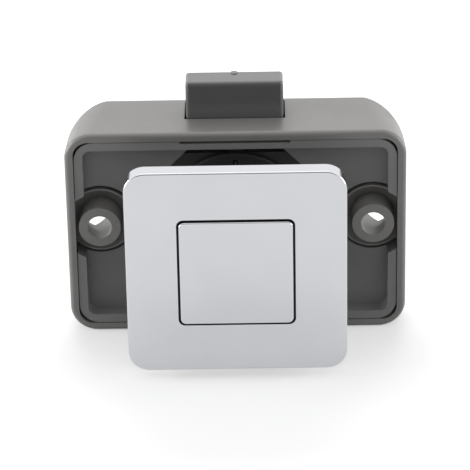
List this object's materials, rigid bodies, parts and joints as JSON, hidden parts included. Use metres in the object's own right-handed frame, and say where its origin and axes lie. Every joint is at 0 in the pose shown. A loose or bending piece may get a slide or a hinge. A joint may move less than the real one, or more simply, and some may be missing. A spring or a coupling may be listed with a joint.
{
  "type": "push button cabinet lock",
  "caption": "Push button cabinet lock: a plastic case with a spring bolt, screwed behind a door, and a square chromed plate and button on a sleeve through the door.",
  "frame": {"origin": "the centre of the line between the two fixing screw holes, on the case's front rim plane, which lies on the door's inner face; the button's axis passes through it", "axes": "+Z the way the bolt points, +X to the right seen from the room, +Y from the room into the cabinet"},
  "size_m": [0.075, 0.0421, 0.0571],
  "materials": {
    "case_grey": "satin moulded",
    "cover_grey": "satin moulded",
    "plate_dark": "matt moulded",
    "barrel_grey": "satin moulded",
    "bolt_grey": "satin moulded",
    "plunger_dark": "satin moulded",
    "core_grey": "matt moulded",
    "chrome": "polished chrome plating",
    "steel": "bright steel",
    "spring_wire": "drawn spring wire"
  },
  "bodies": {
    "case": {"housing": "case_grey", "front_cover": "cover_grey", "mechanism_plate": "plate_dark", "mechanism_screws": "steel", "barrel": "barrel_grey", "barrel_screws": "steel", "plate_collar": "barrel_grey", "plate_core": "core_grey", "face_plate": "chrome", "spring_washer": "steel", "track_wire": "spring_wire", "button_spring": "spring_wire", "bolt_spring_left": "spring_wire", "bolt_spring_right": "spring_wire"},
    "button": {"plunger": "plunger_dark", "button_core": "plunger_dark", "button_cap": "chrome", "stud_clips": "steel"},
    "bolt": {"latch_bolt": "bolt_grey", "bolt_pin": "steel"}
  },
  "joints": [
    {"name": "button_slide", "type": "slide", "parent": "case", "child": "button", "axis": [0, -1, 0], "range_m": [0, 0.0085], "deforming": ["button_spring", "track_wire"]},
    {"name": "bolt_slide", "type": "slide", "parent": "case", "child": "bolt", "axis": [0, 0, -1], "range_m": [0, 0.0085], "stiffness_N_per_m": 150, "springref_m": -0.003, "deforming": ["bolt_spring_left", "bolt_spring_right"]}
  ],
  "couplings": [
    {"joint": "bolt_slide", "follows": "button_slide", "ratio": 1}
  ]
}
